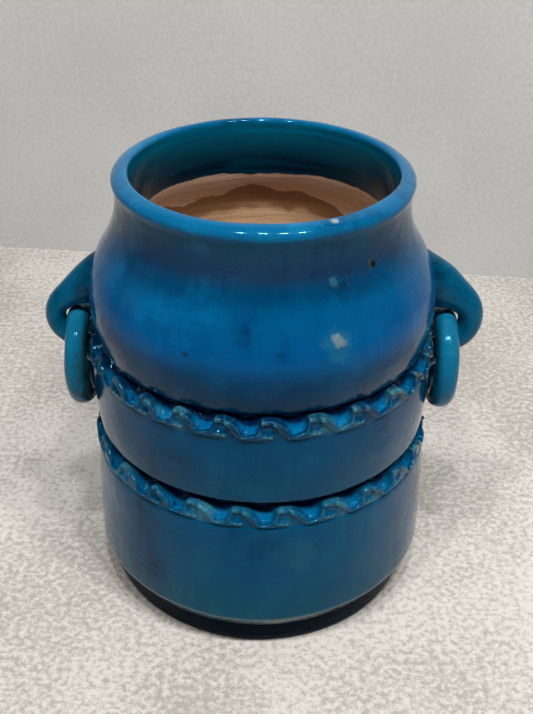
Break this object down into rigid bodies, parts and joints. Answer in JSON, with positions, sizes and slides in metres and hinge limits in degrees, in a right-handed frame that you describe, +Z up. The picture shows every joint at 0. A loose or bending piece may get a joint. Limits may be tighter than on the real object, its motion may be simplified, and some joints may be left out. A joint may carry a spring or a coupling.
{
  "type": "amphora",
  "caption": "Squat glazed jar with a wide mouth and rolled lip, ear handles that each carry a loose hanging ring, and crimped clay bands round the body.",
  "frame": {"origin": "centre of the circle that the foot stands on", "axes": "+Z up along the jar's axis, +X through the right handle and ring, -Y to the front"},
  "size_m": [0.1996, 0.159, 0.2055],
  "materials": {
    "glaze": "glossy",
    "dark_foot": "satin"
  },
  "bodies": {
    "jar": {"jar_body": "glaze", "foot_ring": "dark_foot", "upper_crimped_band": "glaze", "lower_crimped_band": "glaze", "handle_left": "glaze", "handle_right": "glaze"},
    "left_ring": {"ring_left": "glaze"},
    "right_ring": {"ring_right": "glaze"}
  },
  "joints": [
    {"name": "ring_left_swing", "type": "hinge", "parent": "jar", "child": "left_ring", "pos_m": [-0.0839, 0, 0.1318], "axis": [0, 1, 0], "range_deg": [0, 185]},
    {"name": "ring_right_swing", "type": "hinge", "parent": "jar", "child": "right_ring", "pos_m": [0.0839, 0, 0.1318], "axis": [0, -1, 0], "range_deg": [0, 185]}
  ]
}
